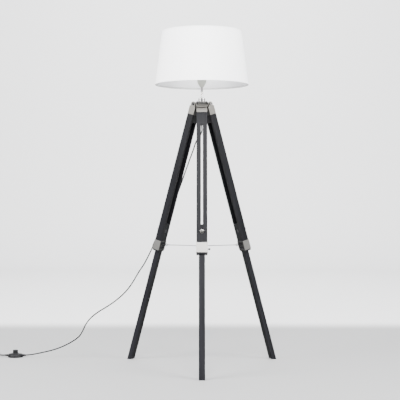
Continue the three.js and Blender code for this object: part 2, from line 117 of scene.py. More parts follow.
# ---------------------------------------------------------------- material helpers
class Nodes:
    """A new material with short ways to add nodes and links."""

    def __init__(self, name):
        self.material = bpy.data.materials.new(name)
        self.material.use_nodes = True
        self.tree = self.material.node_tree
        self.shader = self.tree.nodes["Principled BSDF"]

    def add(self, kind, **inputs):
        node = self.tree.nodes.new(kind)
        for key, value in inputs.items():
            node.inputs[key.replace("_", " ")].default_value = value
        return node

    def link(self, source, target):
        self.tree.links.new(source, target)

    def place(self, source, stretch):
        """Coordinates in metres, of the scene or of the piece's own grain attribute, stretched."""
        if source == "grain":
            spot = self.add("ShaderNodeAttribute")
            spot.attribute_name = "grain"
            out = spot.outputs["Vector"]
        else:
            out = self.add("ShaderNodeTexCoord").outputs["Object"]
        mapping = self.add("ShaderNodeMapping", Scale=stretch)
        self.link(out, mapping.inputs["Vector"])
        return mapping.outputs["Vector"]

    def noise(self, source, stretch, detail):
        node = self.add("ShaderNodeTexNoise", Scale=1.0, Detail=detail, Roughness=0.55)
        self.link(self.place(source, stretch), node.inputs["Vector"])
        return node.outputs["Fac"]

    def calc(self, operation, *sources):
        """A math node on the sources, each of them an output or a plain number."""
        node = self.add("ShaderNodeMath")
        node.operation = operation
        for socket, source in zip(node.inputs, sources):
            if isinstance(source, (int, float)):
                socket.default_value = source
            else:
                self.link(source, socket)
        return node.outputs[0]

    def colour(self, source):
        self.link(source, self.shader.inputs["Base Color"])

    def rough(self, source, low, high):
        node = self.add("ShaderNodeMapRange", To_Min=low, To_Max=high)
        self.link(source, node.inputs["Value"])
        self.link(node.outputs["Result"], self.shader.inputs["Roughness"])

    def ramp(self, source, low, high, start=0.3, end=0.7):
        node = self.add("ShaderNodeValToRGB")
        node.color_ramp.elements[0].position = start
        node.color_ramp.elements[0].color = (*low, 1)
        node.color_ramp.elements[1].position = end
        node.color_ramp.elements[1].color = (*high, 1)
        self.link(source, node.inputs["Fac"])
        return node.outputs["Color"]

    def bump(self, height, strength, distance):
        node = self.add("ShaderNodeBump", Strength=strength, Distance=distance)
        self.link(height, node.inputs["Height"])
        self.link(node.outputs["Normal"], self.shader.inputs["Normal"])

    def set(self, **inputs):
        for key, value in inputs.items():
            self.shader.inputs[key.replace("_", " ")].default_value = value


def black_wood(name, tone=1.0):
    """Satin black lacquer with the grain showing through as fine long streaks."""
    m = Nodes(name)
    grain = m.noise("grain", (900, 900, 14), 6)
    broad = m.noise("grain", (60, 60, 4), 3)
    both = m.calc("MULTIPLY", m.calc("ADD", grain, broad), 0.5)
    # tone makes lighter and darker copies of this lacquer, used below as painted light and painted shade.
    low = tuple(tone * v for v in (0.0028, 0.0028, 0.0034))
    high = tuple(tone * v for v in (0.0095, 0.0095, 0.0112))
    m.colour(m.ramp(both, low, high))
    m.rough(broad, 0.34, 0.46)
    m.bump(grain, 0.12, 0.0003)
    m.set(Specular_IOR_Level=0.05)
    return m.material


def metal(name, colour, rough, streak=0.04):
    """Plated metal with a faint drawn streak and small differences in gloss."""
    m = Nodes(name)
    fine = m.noise("object", (30, 30, 600), 4)
    cloud = m.noise("object", (40, 40, 40), 3)
    m.colour(m.ramp(cloud, tuple(v * 0.93 for v in colour), colour))
    m.rough(fine, rough - streak, rough + streak)
    m.bump(fine, 0.04, 0.0002)
    m.set(Metallic=1.0)
    return m.material


def plastic(name, colour, rough, grain=0.05, gloss=0.5):
    """Moulded plastic with a fine even texture."""
    m = Nodes(name)
    fine = m.noise("object", (2500, 2500, 2500), 2)
    cloud = m.noise("object", (90, 90, 90), 3)
    m.colour(m.ramp(cloud, colour, tuple(min(1.0, v * 1.12) for v in colour)))
    m.rough(cloud, rough - 0.04, rough + 0.06)
    m.bump(fine, grain, 0.0001)
    m.set(Specular_IOR_Level=gloss)
    return m.material


def cloth(name, colour, rough, threads, bump):
    """A plain weave: two wave textures along the piece's own grain coordinates, crossing."""
    m = Nodes(name)
    spot = m.place("grain", (1, 1, 1))
    waves = []
    for axis in ("X", "Z"):
        wave = m.add("ShaderNodeTexWave", Scale=threads, Distortion=0.6, Detail=1.0)
        wave.bands_direction = axis
        m.link(spot, wave.inputs["Vector"])
        waves.append(wave.outputs["Fac"])
    slub = m.noise("grain", (25, 25, 220), 3)
    m.colour(m.ramp(slub, tuple(v * 0.965 for v in colour), colour))
    m.rough(slub, rough - 0.05, rough + 0.05)
    m.bump(m.calc("MAXIMUM", *waves), bump, 0.0002)
    m.set(Specular_IOR_Level=0.2, Sheen_Weight=0.15, Sheen_Roughness=0.5)
    return m.material


def opal(name):
    """Milky glass that lets some light into its depth."""
    m = Nodes(name)
    m.colour(m.ramp(m.noise("object", (30, 30, 30), 2), (0.86, 0.85, 0.82), (0.93, 0.92, 0.89)))
    m.set(Roughness=0.22, Subsurface_Weight=0.2, Subsurface_Scale=0.01)
    return m.material


# ---------------------------------------------------------------- mesh helpers
SHARP = math.radians(38)
BEVEL_ABOVE = math.radians(35)
ON_AXIS = 1e-6


def piece(name, bm, material, body, matrix=TO_ROW, replaced=(), bevel=0.0, grain=None):
    """A finished piece from a bmesh in millimetres: smooth with sharp edges, on its body.

    grain(co) gives a vertex's place along the grain or weave, in metres. False leaves it out.
    """
    if isinstance(replaced, str):
        replaced = (replaced,)
    bmesh.ops.recalc_face_normals(bm, faces=bm.faces)
    mesh = bpy.data.meshes.new(name)
    if grain is not False:
        layer = bm.verts.layers.float_vector.new("grain")
        for v in bm.verts:
            v[layer] = grain(v.co) if grain else v.co * MM
    bm.transform(matrix)
    for face in bm.faces:
        face.smooth = True
    for edge in bm.edges:
        edge.smooth = len(edge.link_faces) == 2 and edge.calc_face_angle(0) < SHARP
    bm.to_mesh(mesh)
    bm.free()
    for one in material if isinstance(material, (list, tuple)) else [material]:
        mesh.materials.append(one)
    obj = bpy.data.objects.new(name, mesh)
    bpy.context.scene.collection.objects.link(obj)
    if bevel:
        add_bevel(obj, bevel)
    if body:
        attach(obj, body)
    if replaced:
        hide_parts(*replaced)
    return obj


def add_bevel(obj, width):
    modifier = obj.modifiers.new("edges", "BEVEL")
    modifier.width = width * MM
    modifier.segments = 3
    modifier.limit_method = "ANGLE"
    modifier.angle_limit = BEVEL_ABOVE
    modifier.harden_normals = True


def from_node(node):
    """The CAD node's shape as a clean bmesh with flat faces joined, in metres."""
    bm = bmesh.new()
    bm.from_mesh(frame["nodes"][node].data)
    bmesh.ops.remove_doubles(bm, verts=bm.verts, dist=2e-6)
    bmesh.ops.dissolve_limit(
        bm, angle_limit=math.radians(0.6), verts=bm.verts, edges=bm.edges, delimit={"NORMAL"}
    )
    return bm


def mark_inner_shade(bm):
    """Gives the faces that look inward along the leg's own Y the second material, a darker copy: painted
    shade.
    """
    bm.normal_update()
    for face in bm.faces:
        face.material_index = 1 if face.normal.y > 0.7 else 0


def bevelled(node, name, material, body, bevel, matrix):
    """The node's own shape with rounded edges and grain along the given frame."""
    bm = from_node(node)
    bm.transform(matrix.inverted())
    if isinstance(material, tuple):
        mark_inner_shade(bm)
    return piece(name, bm, material, body, matrix, node, bevel)


def soften(profile, radius, steps=3):
    """A profile of [r, z] points with its corners cut round, the corners on the axis left alone."""
    points = [Vector(p) for p in profile]
    out = []
    for i, p in enumerate(points):
        if i in (0, len(points) - 1) or p.x < ON_AXIS:
            out.append(p)
            continue
        before, after = points[i - 1] - p, points[i + 1] - p
        reach = min(radius, before.length * 0.45, after.length * 0.45)
        a, b = p + before.normalized() * reach, p + after.normalized() * reach
        for k in range(steps + 1):
            t = k / steps
            out.append(a * (1 - t) ** 2 + p * 2 * t * (1 - t) + b * t * t)
    return out


def circle(radius, count):
    """Points [x, y] round a circle."""
    return [(radius * math.cos(math.tau * i / count), radius * math.sin(math.tau * i / count))
            for i in range(count)]


def bridge(bm, low, high):
    """A band of faces between two closed rings of vertices."""
    for i in range(len(low)):
        j = (i + 1) % len(low)
        bm.faces.new((low[i], low[j], high[j], high[i]))


def loft(bm, rings, ends=True):
    """Bands between rings one after the other, and with ends a flat face over both last rings."""
    for low, high in zip(rings, rings[1:]):
        bridge(bm, low, high)
    if ends:
        bm.faces.new(rings[0][::-1])
        bm.faces.new(rings[-1])


def turned(profile, sides=48, into=None, matrix=None, shape=None):
    """A body of revolution about Z. shape(angle, z) scales the radius, for ribs and knurls."""
    bm = into or bmesh.new()
    rings = []
    for p in profile:
        if p[0] < ON_AXIS:
            rings.append([bm.verts.new((0, 0, p[1]))])
            continue
        ring = []
        for i in range(sides):
            a = math.tau * i / sides
            r = p[0] * (shape(a, p[1]) if shape else 1)
            ring.append(bm.verts.new((r * math.cos(a), r * math.sin(a), p[1])))
        rings.append(ring)
    for low, high in zip(rings, rings[1:]):
        if len(low) > 1 and len(high) > 1:
            bridge(bm, low, high)
        elif len(high) > 1:
            for i in range(sides):
                bm.faces.new((low[0], high[(i + 1) % sides], high[i]))
        elif len(low) > 1:
            for i in range(sides):
                bm.faces.new((low[i], low[(i + 1) % sides], high[0]))
    if matrix:
        bmesh.ops.transform(bm, matrix=matrix, verts=[v for ring in rings for v in ring])
    return bm


def ring_of(profile, sides=48, into=None, matrix=None, shape=None):
    """A body of revolution whose profile closes on itself, away from the axis."""
    points = [tuple(p) for p in profile]
    bm = into or bmesh.new()
    made = turned(points + points[:1], sides, bm, matrix, shape)
    bmesh.ops.remove_doubles(made, verts=made.verts, dist=1e-5)
    return made


def box_of(x0, x1, y0, y1, z0, z1):
    bm = bmesh.new()
    for v in bmesh.ops.create_cube(bm, size=1)["verts"]:
        v.co = Vector((
            x0 + (v.co.x + 0.5) * (x1 - x0),
            y0 + (v.co.y + 0.5) * (y1 - y0),
            z0 + (v.co.z + 0.5) * (z1 - z0),
        ))
    return bm


def curve_through(points, step):
    """A centripetal Catmull-Rom curve through the points, sampled every step."""
    p = [Vector(q) for q in points]
    p = [p[0] * 2 - p[1]] + p + [p[-1] * 2 - p[-2]]
    out = []
    for i in range(1, len(p) - 2):
        a, b, c, d = p[i - 1], p[i], p[i + 1], p[i + 2]
        ta, tb, tc = [max(1e-6, (v - u).length) ** 0.5 for u, v in ((a, b), (b, c), (c, d))]
        ma = ((b - a) / ta - (c - a) / (ta + tb) + (c - b) / tb) * tb
        mb = ((c - b) / tb - (d - b) / (tb + tc) + (d - c) / tc) * tb
        count = max(2, round((c - b).length / step))
        for k in range(count):
            t = k / count
            h = 2 * t**3 - 3 * t**2 + 1
            out.append(b * h + ma * (t**3 - 2 * t**2 + t) + c * (1 - h) + mb * (t**3 - t**2))
    return out + [p[-2]]


def length_of(points):
    return sum((b - a).length for a, b in zip(points, points[1:]))


def tube(path, radius, sides=12, into=None, closed=False, shape=None):
    """A tube along path, its frames carried along without twist, closed in a loop or with flat ends."""
    bm = into or bmesh.new()
    count = len(path)
    side = None
    rings = []
    for i, p in enumerate(path):
        nxt = path[(i + 1) % count] if closed else path[min(i + 1, count - 1)]
        back = path[i - 1] if closed or i else path[0]
        along = (nxt - back).normalized()
        if side is None:
            side = along.orthogonal().normalized()
        side = (side - along * side.dot(along)).normalized()
        up = along.cross(side)
        r = radius * (shape(i / (count - 1)) if shape else 1)
        ring = []
        for k in range(sides):
            a = math.tau * k / sides
            ring.append(bm.verts.new(p + side * math.cos(a) * r + up * math.sin(a) * r))
        rings.append(ring)
    loft(bm, rings, ends=not closed)
    if closed:
        bridge(bm, rings[-1], rings[0])
    return bm


def circle_path(radius, z, count):
    return [Vector((x, y, z)) for x, y in circle(radius, count)]


# ---------------------------------------------------------------- materials in use
WOOD = black_wood("black_lacquered_wood")
# A lighter copy of the same lacquered wood for the lower legs: painted light, a painted reflection.
WOOD_LOWER_LIT = black_wood("black_lacquered_wood_lower_painted_light", 1.3)
# A darker copy of the same wood for the faces that look inward: painted shade.
WOOD_INNER_SHADE = black_wood("black_wood_inner_painted_shade", 0.5)
NICKEL = metal("satin_nickel", (0.17, 0.166, 0.157), 0.32)
# A darker copy of the satin nickel for the caps, toned down against the light on them: painted shade.
CAP_NICKEL_SHADED = metal("satin_nickel_cap_painted_shade", (0.062, 0.059, 0.054), 0.34)
# A darker copy of the nickel for the inward faces of caps and collars: painted shade and a painted dark
# reflection.
NICKEL_INNER_SHADE = metal("nickel_inner_painted_shade", (0.03, 0.029, 0.028), 0.5, 0.08)
BRIGHT = metal("polished_nickel", (0.42, 0.41, 0.4), 0.2, 0.03)
DARK = metal("blackened_steel", (0.03, 0.03, 0.032), 0.4)
STAY = metal("drawn_steel_wire", (0.06, 0.06, 0.062), 0.35)
WHITE_CLOTH = cloth("white_shade_cloth", (0.93, 0.93, 0.935), 0.85, 420, 0.25)
LINING = cloth("silvered_lining", (0.93, 0.93, 0.94), 0.4, 300, 0.08)
WHITE_TAPE = cloth("white_edge_tape", (0.9, 0.9, 0.905), 0.85, 700, 0.3)
# Dark colour for the low tape's inward and under faces: a painted shade.
TAPE_IN_SHADE = cloth("lampshade_tape_painted_shade", (0.04, 0.039, 0.037), 0.8, 700, 0.3)
WHITE_WIRE = plastic("white_powder_coat", (0.78, 0.78, 0.77), 0.4, 0.03)
HOLDER = plastic("off_white_thermoset", (0.52, 0.53, 0.47), 0.4)
OPAL = opal("opal_glass")
CORD = plastic("black_cord_jacket", (0.003, 0.003, 0.0032), 0.5, 0.03, 0.12)
SWITCH = plastic("black_switch_plastic", (0.004, 0.004, 0.0045), 0.36, 0.06, 0.18)
# A near-black strip laid in the bottom of each cap's groove: a painted shadow.
GROOVE_SHADOW = plastic("painted_groove_shadow", (0.002, 0.002, 0.002), 0.8, 0.03, 0.02)
BRASS = metal("plug_brass", (0.78, 0.6, 0.3), 0.22)

# ---------------------------------------------------------------- cord
# Routes are in millimetres in the lamp's frame. CLIP_SHARE of the first is on the hub's side of the clip.
CORD_R = 2.75
CORD_SIDES = 14
CORD_Z = 9
ROUTE_STEP = 5
LAMP_ROUTE = [
    (0, 0, 1061.7), (0, 1.5, 1047), (0, 10, 1028), (0, 26.5, 1006), (-10.5, 40, 985), (-25, 49.5, 962),
    (-38.5, 56, 924), (-54.5, 64, 881), (-70, 73, 838), (-98, 89.6, 760), (-127.5, 106.6, 680),
    (-152, 121, 612), (-163.2, 129.4, 590), (-176.5, 134.2, 576), (-188.4, 130.7, 566),
    (-195.2, 121.9, 556), (-199.8, 111.9, 544), (-206, 106.2, 531), (-212.4, 104.1, 516),
    (-217.4, 104, 500), (-226, 104.6, 482), (-238.5, 106.5, 456), (-254, 109, 428), (-272, 113, 401),
    (-288, 118, 375), (-304, 122, 348), (-323, 127, 321), (-347, 131, 294), (-379, 138, 266),
    (-417, 146, 239), (-457, 155, 214), (-485, 161, 193), (-505, 166, 172), (-520, 171, 149),
    (-532, 176, 124), (-548, 182, 100), (-577, 190, 78), (-605, 197, 62), (-636, 204, 47.5),
    (-668, 211, 36), (-701, 217, 27), (-733, 222, 19.5), (-762, 227, 13.5), (-786, 231, 10.2),
    (-806.7, 235, CORD_Z),
]
TAIL_ROUTE = [
    (-875.3, 235, CORD_Z), (-890.5, 235, 8.9), (-899.5, 237.5, 8.5), (-907.5, 244, 8), (-914, 254, 7.4),
    (-918.7, 267, 6.9), (-922, 283, 6.3), (-925.1, 299.9, 5.2), (-928.9, 314.2, 3.5),
]
CLIP_SHARE = 0.401
# Each turn of the coil has a radius and a height, and eases into the next over its last SHIFT_SHARE.
COIL = Vector((-962.5, 312, 0))
COIL_START = math.radians(15)
COIL_TURNS = ((33.0, 3.1), (27.5, 3.1), (27.5, 8.6), (33.0, 8.6))
COIL_STEPS = 72
SHIFT_SHARE = 0.16
PLUG = Vector((COIL.x - 33, COIL.y - 53.5, 0))


def coil_points():
    """Four turns and a part, counter-clockwise up to the side of the plug."""
    points = []
    total = len(COIL_TURNS) * COIL_STEPS + round(COIL_STEPS * (0.5 - COIL_START / math.tau))
    for i in range(1, total + 1):
        turn, share = divmod(i / COIL_STEPS, 1)
        here = COIL_TURNS[min(int(turn), len(COIL_TURNS) - 1)]
        after = COIL_TURNS[min(int(turn) + 1, len(COIL_TURNS) - 1)]
        t = max(0.0, (share - 1 + SHIFT_SHARE) / SHIFT_SHARE)
        t = t * t * (3 - 2 * t)
        r = here[0] + (after[0] - here[0]) * t
        z = here[1] + (after[1] - here[1]) * t
        a = COIL_START + math.tau * i / COIL_STEPS
        points.append(Vector((COIL.x + r * math.cos(a), COIL.y + r * math.sin(a), z)))
    return points


def cord_piece(name, path, body, nodes, **facts):
    bm = tube(path, CORD_R, CORD_SIDES)
    obj = piece(name, bm, CORD, body, TO_ROW, nodes)
    return obj


def add_cords(gland_pieces, switch_pieces, plug_pieces):
    whole = curve_through(LAMP_ROUTE, ROUTE_STEP)
    until_clip = CLIP_SHARE * length_of(whole)
    walked = 0
    split = 0
    while walked < until_clip:
        walked += (whole[split + 1] - whole[split]).length
        split += 1
    drop = cord_piece(
        "cord_hub_to_leg", whole[: split + 1], None, ["cord_drop"],
        far_end="object", stiffness="medium", lay="hanging", with_pieces=gland_pieces,
    )
    run = cord_piece(
        "cord_leg_to_switch", whole[split:], None, ["cord_run"],
        far_end="object", stiffness="medium", lay="hanging", with_pieces=switch_pieces,
    )
    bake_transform(drop)
    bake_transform(run)

    to_plug = [Vector((PLUG.x, PLUG.y + 43.5, 9.2)), Vector((PLUG.x, PLUG.y + 27.5, 10))]
    tail = curve_through(TAIL_ROUTE, ROUTE_STEP) + coil_points() + to_plug
    cord_piece(
        "cord_switch_to_plug", tail, "root", ["cord_tail", "cord_coil"],
        far_end="plug", stiffness="medium", lay="coiled", with_pieces=plug_pieces,
    )


# ---------------------------------------------------------------- foot switch
SWITCH_AT = Vector((-841, 235, 0))
SWITCH_HALF = 34
SWITCH_WIDE = 31
SWITCH_SIDES = 64
SWITCH_BASE = [(1.2, 0), (0.2, 0.5), (0, 1.4), (0, 8.2), (0.4, 8.8), (1.6, 9), (2.4, 8.7), (3, 6), (3, 3)]
SWITCH_DOME = [(0.6, 9.3), (0.5, 10.2), (1.2, 12.4), (3.2, 14.6), (5.6, 16.2), (8, 17.2)]
SWITCH_COLLAR = [(15.2, 18.3), (14.4, 18.9), (13.4, 19), (12.9, 18.7), (12.8, 17.8), (12.8, 10.5)]
SWITCH_BUTTON = [(0, 10.5), (11.7, 10.5), (11.7, 19), (11.4, 20.5), (11.4, 32.4), (10, 33), (8.4, 32.2),
                 (0, 32)]


def level_ring(bm, half_long, half_wide, z):
    """A level oval of vertices round the switch."""
    return [bm.verts.new((half_long * x, half_wide * y, z)) for x, y in circle(1, SWITCH_SIDES)]


def oval_rings(bm, profile):
    """Ovals from [inset, height] points, the inset taken from the switch's outline."""
    return [level_ring(bm, SWITCH_HALF - inset, SWITCH_WIDE - inset, z) for inset, z in profile]


def add_switch():
    """The foot switch. Gives its pieces for the cord that comes in and for the cord that goes out."""
    at = TO_ROW @ Matrix.Translation(SWITCH_AT)
    bm = bmesh.new()
    loft(bm, oval_rings(bm, SWITCH_BASE))
    base = piece("foot_switch_base", bm, SWITCH, "root", at, ["switch_base", "switch_spring_post"])
    bm = bmesh.new()
    loft(bm, oval_rings(bm, SWITCH_DOME) + [level_ring(bm, r, r, z) for r, z in SWITCH_COLLAR], ends=False)
    cover = piece("foot_switch_cover", bm, SWITCH, "root", at, "switch_cover")

    def ribs(angle, z):
        return 1 + 0.022 * max(0.0, math.cos(24 * angle)) * (1 if 20 < z < 31.6 else 0)

    button = piece("foot_switch_button", turned(soften(SWITCH_BUTTON, 0.6), 144, shape=ribs), SWITCH,
                   "button", at, "switch_button")
    glands = []
    for side in (-1, 1):
        nose = [(2.85, 0), (4.9, 0), (4.9, 7)]
        for k in range(6):
            r = 4.8 - 0.25 * k
            nose += [(r, 7.4 + 2.4 * k), (r, 8.8 + 2.4 * k), (r - 0.5, 9 + 2.4 * k), (r - 0.5, 9.6 + 2.4 * k)]
        nose += [(3.2, 22), (2.85, 22)]
        matrix = Matrix.Translation((side * (SWITCH_HALF - 7), 0, CORD_Z))
        matrix = matrix @ Matrix.Rotation(side * QUARTER, 4, "Y")
        bm = ring_of(nose, 32, None, matrix)
        name = f"foot_switch_gland_{'in' if side > 0 else 'out'}"
        glands.append(piece(name, bm, SWITCH, "root", at, ()))
    return [base, cover, button, glands[1]], [glands[0]]


PLUG_HIGH = 21
PLUG_TAPER = 0.94
PLUG_OUTLINE = [(-20, -22), (20, -22), (20, -4), (14, 13), (8, 17), (-8, 17), (-14, 13), (-20, -4)]
PLUG_PINS = {
    "live": (-13, -9, -39, -21.5, 6, 12),
    "neutral": (9, 13, -39, -21.5, 6, 12),
    "earth": (-3, 3, -43, -21.5, 12, 16),
}


def add_plug():
    """The plug with three pins, lying beside the coil."""
    at = TO_ROW @ Matrix.Translation(PLUG)
    bm = bmesh.new()
    low = [bm.verts.new((x, y, 0)) for x, y in PLUG_OUTLINE]
    high = [bm.verts.new((x * PLUG_TAPER, y * PLUG_TAPER, PLUG_HIGH)) for x, y in PLUG_OUTLINE]
    loft(bm, [low, high])
    body = piece("plug_body", bm, SWITCH, "root", at, "plug", 1.8)
    pins = [piece(f"plug_pin_{name}", box_of(*box), BRASS, "root", at, (), 0.6)
            for name, box in PLUG_PINS.items()]

    def rings(angle, z):
        return 1 + 0.07 * math.cos(z * 2.1)

    profile = [(3.2, 29)] + [(3.2 + 0.22 * k, 29 - k * 1.2) for k in range(1, 12)] + [(2.9, 14), (2.9, 29)]
    bm = ring_of(profile, 36, None, ALONG_Y, rings)
    bmesh.ops.transform(bm, matrix=Matrix.Translation((0, 0, 10)), verts=bm.verts)
    neck = piece("plug_strain_relief", bm, SWITCH, "root", at, ())
    return [body, neck, *pins]


# ---------------------------------------------------------------- shade
SHADE_LOW_R = 200
SHADE_HIGH_R = 170.8
SHADE_LOW = 1204.7
SHADE_HIGH = 1433
SHADE_WALL = 1.5
CLOTH_T = 0.7
TAPE_OUT = 0.35
TAPE_T = 0.3
TAPE_GAP = 0.02
SEAM_HALF = 7.0
RING_WIRE = 2
ARM_WIRE = 1.6
FITTER_Z = 1229.6
SHADE_SIDES = 192
TO_BACK = Matrix.Rotation(QUARTER, 4, "Z")


def shade_r(z):
    share = (z - SHADE_LOW) / (SHADE_HIGH - SHADE_LOW)
    return SHADE_LOW_R + (SHADE_HIGH_R - SHADE_LOW_R) * share


def cone_grain(co):
    """Metres round the cone from the back seam, and metres up it."""
    angle = math.atan2(co.x, -co.y)
    return Vector((angle * SHADE_LOW_R * MM, 0, co.z * MM))


def cone_layer(name, outer, inner, material, replaced=(), rows=12):
    """One closed layer of the cone, between two depths below its outer face."""
    low, high = SHADE_LOW + 0.1, SHADE_HIGH - 0.1
    heights = [low + (high - low) * i / rows for i in range(rows + 1)]
    profile = [(shade_r(z) - outer, z) for z in heights]
    profile += [(shade_r(z) - inner, z) for z in reversed(heights)]
    bm = ring_of(profile, SHADE_SIDES, None, TO_BACK)
    return piece(name, bm, material, "root", TO_ROW, replaced, 0, cone_grain)


def folded_tape(name, fold, edge):
    """The narrow tape folded over the shade's edge, from fold on the outside to fold on the inside.

    It stands a little proud on both sides. Only the low one's inner and under faces take the dark colour: a
    painted shade.
    """
    way = 1 if edge > fold else -1
    far = SHADE_WALL + TAPE_OUT
    over = edge + way * TAPE_T
    under = edge + way * TAPE_GAP
    profile = [
        (shade_r(fold) + TAPE_OUT, fold), (shade_r(edge) + TAPE_OUT, over),
        (shade_r(edge) - far, over), (shade_r(fold) - far, fold),
        (shade_r(fold) - SHADE_WALL + TAPE_GAP, fold), (shade_r(edge) - SHADE_WALL + TAPE_GAP, under),
        (shade_r(edge) - TAPE_GAP, under), (shade_r(fold) - TAPE_GAP, fold),
    ]
    bm = ring_of(profile, SHADE_SIDES, None, TO_BACK)
    bmesh.ops.recalc_face_normals(bm, faces=bm.faces)
    for face in bm.faces:
        spot = face.calc_center_median().xy
        inside = face.normal.xy.dot(spot) < 0.5 * spot.length
        # The low tape's inward and under faces take the dark colour: painted shade.
        face.material_index = 1 if inside and way < 0 else 0
    return piece(name, bm, (WHITE_TAPE, TAPE_IN_SHADE), "root", TO_ROW, (), 0, cone_grain)


def back_seam(rows=24, columns=6):
    """The lap of the cloth down the back: a thin strip that lies on the cone, lower at its sides."""
    half_angle = SEAM_HALF / SHADE_LOW_R
    bm = bmesh.new()
    rings = []
    for i in range(rows + 1):
        z = SHADE_LOW + 6 + (SHADE_HIGH - SHADE_LOW - 12) * i / rows
        under, over = [], []
        for k in range(columns + 1):
            a = QUARTER + half_angle * (2 * k / columns - 1)
            for line, lift in ((under, 0.05), (over, 0.45 if 0 < k < columns else 0.25)):
                r = shade_r(z) + lift
                line.append(bm.verts.new((r * math.cos(a), r * math.sin(a), z)))
        rings.append(under + over[::-1])
    for low, high in zip(rings, rings[1:]):
        bridge(bm, low, high)
    for ring in (rings[0], rings[-1]):
        for k in range(columns):
            bm.faces.new((ring[k], ring[k + 1], ring[-2 - k], ring[-1 - k]))
    return piece("shade_back_seam", bm, WHITE_CLOTH, "root", TO_ROW, (), 0, cone_grain)


def add_shade():
    """Cloth, liner, tapes and seam, then the two wire rings, the three-armed fitter and its nut."""
    fabric = cone_layer("shade_fabric", 0, CLOTH_T, WHITE_CLOTH, "shade_cover")
    cone_layer("shade_liner", CLOTH_T + 0.05, SHADE_WALL, LINING)
    tape_low = folded_tape("shade_tape_low", SHADE_LOW + 5.5, SHADE_LOW + 0.3)
    tape_high = folded_tape("shade_tape_high", SHADE_HIGH - 5.5, SHADE_HIGH - 0.3)
    back_seam()

    ring_in = SHADE_WALL + RING_WIRE + 0.6
    high_path = circle_path(SHADE_HIGH_R - ring_in, SHADE_HIGH - RING_WIRE - 0.5, 128)
    piece("shade_ring_high", tube(high_path, RING_WIRE, closed=True), WHITE_WIRE, "root", TO_ROW,
          "shade_top_ring")
    low_r = SHADE_LOW_R - ring_in - 0.3
    low_z = SHADE_LOW + RING_WIRE + 0.5
    arm_z = FITTER_Z + 1.5
    bm = tube(circle_path(low_r, low_z, 128), RING_WIRE, closed=True)
    for i in range(3):
        turn = Matrix.Rotation(QUARTER + i * math.tau / 3, 3, "Z")
        arm = [(24, 0, arm_z), (90, 0, arm_z), (150, 0, arm_z - 4), (low_r - 0.3, 0, low_z)]
        tube([turn @ p for p in curve_through(arm, 8)], ARM_WIRE, into=bm)
    washer = soften([(20.2, FITTER_Z), (27, FITTER_Z), (27, FITTER_Z + 3), (20.2, FITTER_Z + 3)], 0.8)
    ring_of(washer, 64, bm)
    piece("shade_fitter", bm, WHITE_WIRE, "root", TO_ROW, "shade_fitter_frame")

    def grip(angle, z):
        return 1 + 0.03 * (math.cos(36 * angle) > 0) * (FITTER_Z + 4.4 < z < FITTER_Z + 10)

    nut = [(19.9, FITTER_Z + 3.3), (26, FITTER_Z + 3.3), (26.2, FITTER_Z + 4.5), (26.2, FITTER_Z + 9.8),
           (25.6, FITTER_Z + 11), (19.9, FITTER_Z + 11)]
    piece("shade_nut", ring_of(nut, 144, shape=grip), HOLDER, "root", TO_ROW, "shade_ring_nut")


# ---------------------------------------------------------------- lampholder and bulb
def threads(r, z0, z1, pitch, depth):
    """Profile points of a ridged stretch from z0 up to z1, at radius r on the crests."""
    count = round((z1 - z0) / pitch)
    step = (z1 - z0) / count
    points = []
    for i in range(count):
        z = z0 + i * step
        points += [(r - depth, z), (r, z + step * 0.35), (r, z + step * 0.65)]
    return points + [(r - depth, z1)]


def add_holder():
    """The lampholder's cup, threaded skirt and core, and the bulb in it."""
    cup = soften([(5.3, 1194), (7.5, 1194), (13, 1203), (18.5, 1214), (20.5, 1226), (18, 1226),
                  (16, 1215), (10.5, 1204.5), (5.3, 1200)], 1.2, 4)
    piece("holder_cup", ring_of(cup, 64), HOLDER, "root", TO_ROW, "lampholder_cup")
    skirt = [(17.5, 1226.3), (21.4, 1226.3), (22, 1226.9), (22, 1228.7), (21.4, 1229.3), (19, 1229.5)]
    skirt += threads(19.5, 1230.5, 1259, 2.4, 0.7) + [(19, 1261.2), (18.6, 1262), (17.5, 1262)]
    piece("holder_skirt", ring_of(skirt, 72), HOLDER, "root", TO_ROW, "lampholder_skirt")
    core = soften([(0, 1206), (9, 1206), (14.5, 1216), (15, 1230), (0, 1230)], 0.8)
    piece("holder_core", turned(core, 48), HOLDER, "root", TO_ROW, "lampholder_core")
    cap = [(0, 1230.5), (4, 1230.6), (6, 1232), (10.5, 1234.5)] + threads(13, 1236, 1252, 3.6, 0.9)
    cap += [(12.8, 1254), (12.8, 1256), (0, 1256)]
    piece("bulb_screw_cap", turned(cap, 48), NICKEL, "root", TO_ROW, "bulb_cap")
    glass = [(0, 1256.3), (14, 1256.3)]
    outline = [(14, 0, 1256.3), (15.2, 0, 1268), (19.5, 0, 1281), (26, 0, 1295), (29.8, 0, 1310),
               (28.6, 0, 1325), (22.5, 0, 1337.5), (12, 0, 1344.3), (0.01, 0, 1346)]
    glass += [(p.x, p.z) for p in curve_through(outline, 2)[1:-1]] + [(0, 1346)]
    piece("bulb_envelope", turned(glass, 64), OPAL, "root", TO_ROW, "bulb_glass")


# ---------------------------------------------------------------- stem and hub
PIVOT_R = 30.3
PIVOT_Z = 1123
GLAND_LOW = 1062


